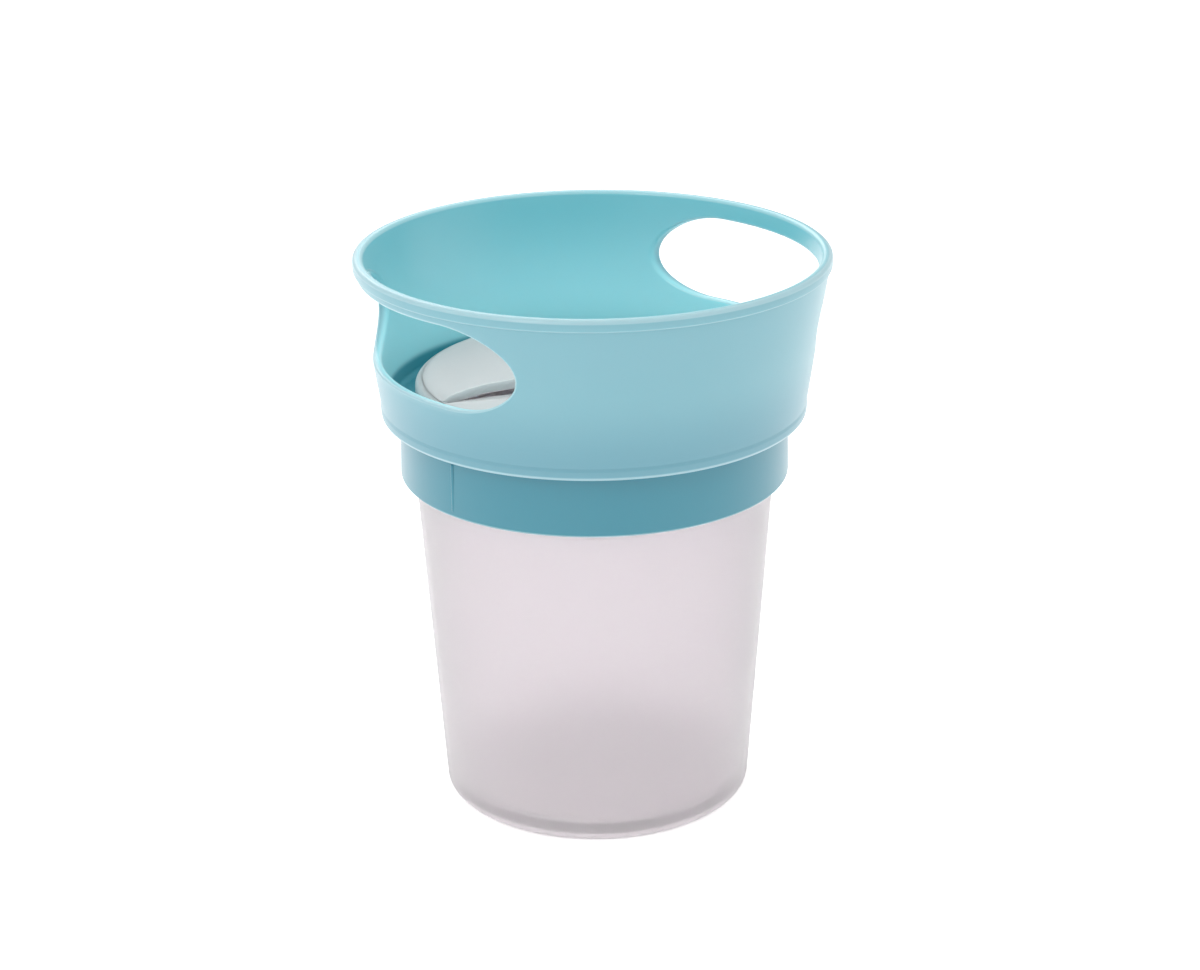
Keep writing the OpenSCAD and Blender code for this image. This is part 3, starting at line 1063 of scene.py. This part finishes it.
@dataclass
class Diaphragm:
    """The white soft dome: flange, wall and shoulder, and four flaps between its slits."""

    dome_r: float = 43.15 * MM
    shoulder_w: float = 6.0 * MM
    shoulder_h: float = 2.9 * MM
    shoulder_steps: int = 8
    crown: float = 0.7 * MM
    crown_clear: float = 0.15 * MM
    soft_t: float = 2.4 * MM
    flange_t: float = 1.5 * MM
    flange_w: float = 1.4 * MM
    flange_edge: float = 0.5 * MM
    crease: float = 0.3 * MM
    slit_end: float = 37.0 * MM
    slit_w: float = 0.34 * MM
    seam_r: float = SEAM_MM * MM
    seam_step: float = 0.2 * MM
    edge_round: float = 0.35 * MM
    near_edge: float = 0.01 * MM
    sag_power: float = 1.3
    narrow: float = 2.5 * MM
    widening: float = 0.45
    bend_out: float = 1.4 * MM
    bend_in: float = 4.5 * MM
    grid: int = 56

    def __post_init__(self) -> None:
        """Takes the heights from the solid and places the flaps' roots."""
        low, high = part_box("diaphragm")
        self.bottom = low.z
        self.rim_z = high.z - self.crown_clear
        self.root = self.slit_end / math.sqrt(2)
        self.root_line = Vector((math.sqrt(0.5), math.sqrt(0.5), 0))

    def top_z(self, radius: float) -> float:
        """Height of the dome's top at a distance from the axis, with its slits shut."""
        flat_r = self.dome_r - self.shoulder_w
        if radius <= flat_r:
            return self.rim_z + self.crown * (1 - (radius / flat_r) ** 2)
        across = min((radius - flat_r) / self.shoulder_w, 1.0)
        return self.rim_z - self.shoulder_h * (1 - math.sqrt(1 - across**2))

    def corners(self) -> list[Corner]:
        """The dome's outline without its slit top: a loop that ends at the flaps."""
        inner_r = self.dome_r - self.soft_t
        flange_r = self.dome_r + self.flange_w
        flange_z = self.bottom + self.flange_t
        seam_under = self.top_z(self.seam_r) - self.soft_t
        start = math.asin((self.seam_r - self.dome_r + self.shoulder_w) / self.shoulder_w)
        turn = (start - math.pi / 2) / self.shoulder_steps
        angles = [math.pi / 2 + turn * k for k in range(self.shoulder_steps + 1)]
        shoulder = [
            Corner(
                self.dome_r - self.shoulder_w * (1 - math.sin(angle)),
                self.rim_z - self.shoulder_h * (1 - math.cos(angle)),
            )
            for angle in angles
        ]
        return [
            Corner(inner_r, self.bottom, self.crease),
            Corner(flange_r, self.bottom, self.flange_edge),
            Corner(flange_r, flange_z, self.flange_edge),
            Corner(self.dome_r, flange_z, self.crease),
            *shoulder,
            Corner(self.seam_r, seam_under),
            Corner(inner_r, seam_under - self.seam_step),
        ]

    def build(self, material: Material) -> None:
        """Models the dome and its flaps, each shaped to hang below the dome."""
        dome = spin_outline("diaphragm_dome", self.corners(), closed=True)
        shade(dome, 50)
        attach(Piece(dome, material, Slot.DIAPHRAGM, ("diaphragm",)).dress(), "collar")
        for flap in FLAPS:
            self._build_flap(flap, material)

    def _sheet_point(self, across: float, out: float) -> Vector:
        """A point of a flat flap between the +X and +Y slits.

        Args:
            across: from 0 at the +X slit to 1 at the +Y slit.
            out: from 0 at the tip to 1 at the seam with the dome.
        """
        half = self.slit_w / 2
        tip_r = half * math.sqrt(2)
        radius = tip_r + (self.seam_r - tip_r) * out
        first = math.asin(min(half / radius, 1.0))
        angle = first + (math.pi / 2 - 2 * first) * across
        return Vector((radius * math.cos(angle), radius * math.sin(angle), 0))

    def _drop(self, flap: Flap, point: Vector) -> float:
        """How far a point hangs below the dome's top, on a flap between the +X and +Y slits."""
        radius = math.hypot(point.x, point.y)
        inward = self.root - (point.x + point.y) * math.sqrt(0.5)
        share = min(max(inward / self.root, 0.0), 1.0)
        middle = flap.first[0][1] * MM * share**self.sag_power
        width = self.narrow + self.widening * max(self.seam_r - radius, 0.0)
        first = math.exp(-((max(point.y, 0.0) / width) ** 2))
        second = math.exp(-((max(point.x, 0.0) / width) ** 2))
        total = first + second
        edges = first * edge_drop(flap.first, radius) + second * edge_drop(flap.second, radius)
        return (1 - min(total, 1.0)) * middle + edges / max(total, 1.0)

    def _build_flap(self, flap: Flap, material: Material) -> None:
        """Models one flap from a grid, gives it its thickness and rounds its slit edges."""
        cells = {"x_subdivisions": self.grid, "y_subdivisions": self.grid}
        obj = primitive(f"{flap.name}_skin", "grid", size=2, **cells)
        mesh = edit(obj)
        for vert in mesh.verts:
            vert.co = self._sheet_point((vert.co.x + 1) / 2, (vert.co.y + 1) / 2)
        face_outwards()
        leave_edit(obj)
        if obj.data.polygons[0].normal.z < 0:
            obj.data.flip_normals()
        thick = obj.modifiers.new("thickness", "SOLIDIFY")
        thick.thickness = self.soft_t
        thick.offset = -1
        apply_modifiers(obj)
        self._round_slit_edges(obj)
        for vert in obj.data.vertices:
            radius = math.hypot(vert.co.x, vert.co.y)
            vert.co.z += self.top_z(radius) - self._drop(flap, vert.co)
        edit(obj)
        merge_points()
        leave_edit(obj)
        turn = Matrix.Rotation(math.radians(flap.turn - 45), 4, "Z")
        obj.data.transform(turn)
        shade(obj, 50)
        Piece(obj, material, Slot.DIAPHRAGM, (flap.name,)).dress()
        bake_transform(obj)

    def _round_slit_edges(self, obj: Object) -> None:
        """Rounds the top and bottom edges of a flap along its slits."""
        mesh = edit(obj)
        half = self.slit_w / 2
        for edge in mesh.edges:
            along_x = all(abs(v.co.y - half) < self.near_edge for v in edge.verts)
            along_y = all(abs(v.co.x - half) < self.near_edge for v in edge.verts)
            level = abs(edge.verts[0].co.z - edge.verts[1].co.z) < TINY
            edge.select_set((along_x or along_y) and level)
        bmesh.update_edit_mesh(obj.data)
        bpy.ops.mesh.bevel(offset=self.edge_round, segments=3, affect="EDGES", clamp_overlap=True)
        leave_edit(obj)


# ---- studio


def turned(degrees: Point) -> Quaternion:
    """The turn by angles about X, Y and Z, in degrees."""
    return Euler([math.radians(angle) for angle in degrees]).to_quaternion()


def add_object(name: str, data: ID, place: Point, turn: Quaternion) -> Object:
    """Adds a camera or a lamp to the scene, at a place and turned."""
    obj = bpy.data.objects.new(name, data)
    bpy.context.scene.collection.objects.link(obj)
    obj.location = place
    obj.rotation_mode = "QUATERNION"
    obj.rotation_quaternion = turn
    return obj


@dataclass
class Studio:
    """The pale floor, the white surroundings, dimmer towards dim_from, the lamps and the camera.

    Attributes:
        lamps: name, place, width in metres and power in watts of each lamp that faces the object.
        camera_turn: the camera's turn about X, Y and Z, in degrees.
        lens: its focal length in millimetres.
    """

    floor_size: float = 8.0
    floor_colour: Colour = (0.93, 0.93, 0.93)
    floor_roughness: float = 0.9
    floor_gloss: float = 0.1
    floor_glow: float = 0.38
    surround: float = 0.78
    dim_side: float = 0.35
    dim_from: Point = (-0.48, -0.88, 0.0)
    dim_range: Span = (0.1, 0.95)
    lamps: tuple[tuple[str, Point, float, float], ...] = (
        ("key", (-0.85, -0.45, 0.80), 0.45, 1.7),
        ("back", (0.25, 1.0, 0.75), 0.8, 3.0),
    )
    aim: Point = (0.0, 0.0, 0.08)
    sky_power: float = 1.05
    sky_width: float = 120
    sky_tilt: Point = (12, -8, 0)
    camera_place: Point = (-0.2744974, -0.5034640, 0.3008967)
    camera_turn: Point = (68.77285, 0.49721, -28.91914)
    lens: float = 75.0
    nearest: float = 0.01

    def build(self) -> None:
        """Adds the floor, the surroundings, the lamps and the camera."""
        self._floor()
        self._surroundings()
        self._lamps()
        self._camera()
        bpy.context.scene.view_settings.view_transform = "Standard"

    def _lamps(self) -> None:
        """Adds the soft lamps and the skylight, which lights the whole floor alike."""
        for name, place, width, power in self.lamps:
            lamp = bpy.data.lights.new(name, "AREA")
            lamp.shape = "DISK"
            lamp.size = width
            lamp.energy = power
            back = Vector(place) - Vector(self.aim)
            add_object(name, lamp, place, back.to_track_quat("Z", "Y"))
        sky = bpy.data.lights.new("skylight", "SUN")
        sky.energy = self.sky_power
        sky.angle = math.radians(self.sky_width)
        add_object("skylight", sky, (0, 0, 0), turned(self.sky_tilt))

    def _camera(self) -> None:
        """Adds the camera and makes it the scene's own."""
        data = bpy.data.cameras.new("camera")
        data.lens = self.lens
        data.sensor_fit = "HORIZONTAL"
        data.clip_start = self.nearest
        turn = turned(self.camera_turn)
        bpy.context.scene.camera = add_object("camera", data, self.camera_place, turn)

    def _floor(self) -> None:
        """Adds the floor, which isn't part of the object."""
        floor = primitive("studio_floor", "plane", size=self.floor_size, location=(0, 0, 0))
        material = bpy.data.materials.new("pale_floor")
        material.use_nodes = True
        inputs = material.node_tree.nodes["Principled BSDF"].inputs
        inputs["Base Color"].default_value = (*self.floor_colour, 1)
        inputs["Roughness"].default_value = self.floor_roughness
        inputs["Specular IOR Level"].default_value = self.floor_gloss
        inputs["Emission Color"].default_value = (1, 1, 1, 1)
        inputs["Emission Strength"].default_value = self.floor_glow
        floor.data.materials.append(material)

    def _surroundings(self) -> None:
        """Makes the surroundings white, and dimmer on the camera's side."""
        world = bpy.data.worlds.new("studio")
        world.use_nodes = True
        nodes = Nodes(world.node_tree)
        background = world.node_tree.nodes["Background"]
        background.inputs["Color"].default_value = (1, 1, 1, 1)
        place = nodes.add("TexCoord", {}).outputs["Generated"]
        toward = nodes.add("VectorMath", {0: place, 1: self.dim_from}, operation="DOT_PRODUCT")
        target = (self.surround, self.dim_side)
        strength = nodes.ramp(toward.outputs["Value"], self.dim_range, target)
        nodes.tree.links.new(strength, background.inputs["Strength"])
        bpy.context.scene.world = world


def main() -> None:
    """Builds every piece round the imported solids."""
    logging.basicConfig(level=logging.INFO, format="%(message)s")
    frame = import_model()
    frosted = FROSTED_PLASTIC.build()
    aqua = AQUA_PLASTIC.build()
    soft = SOFT_WHITE.build()
    white = WHITE_PLASTIC.build()
    Cup().build(frosted)
    Collar().build(aqua)
    Diaphragm().build(soft)
    ring = frame["nodes"]["retaining_ring"]
    Piece(ring, white, Slot.RING).dress()
    Studio().build()


if __name__ == "__main__":
    main()
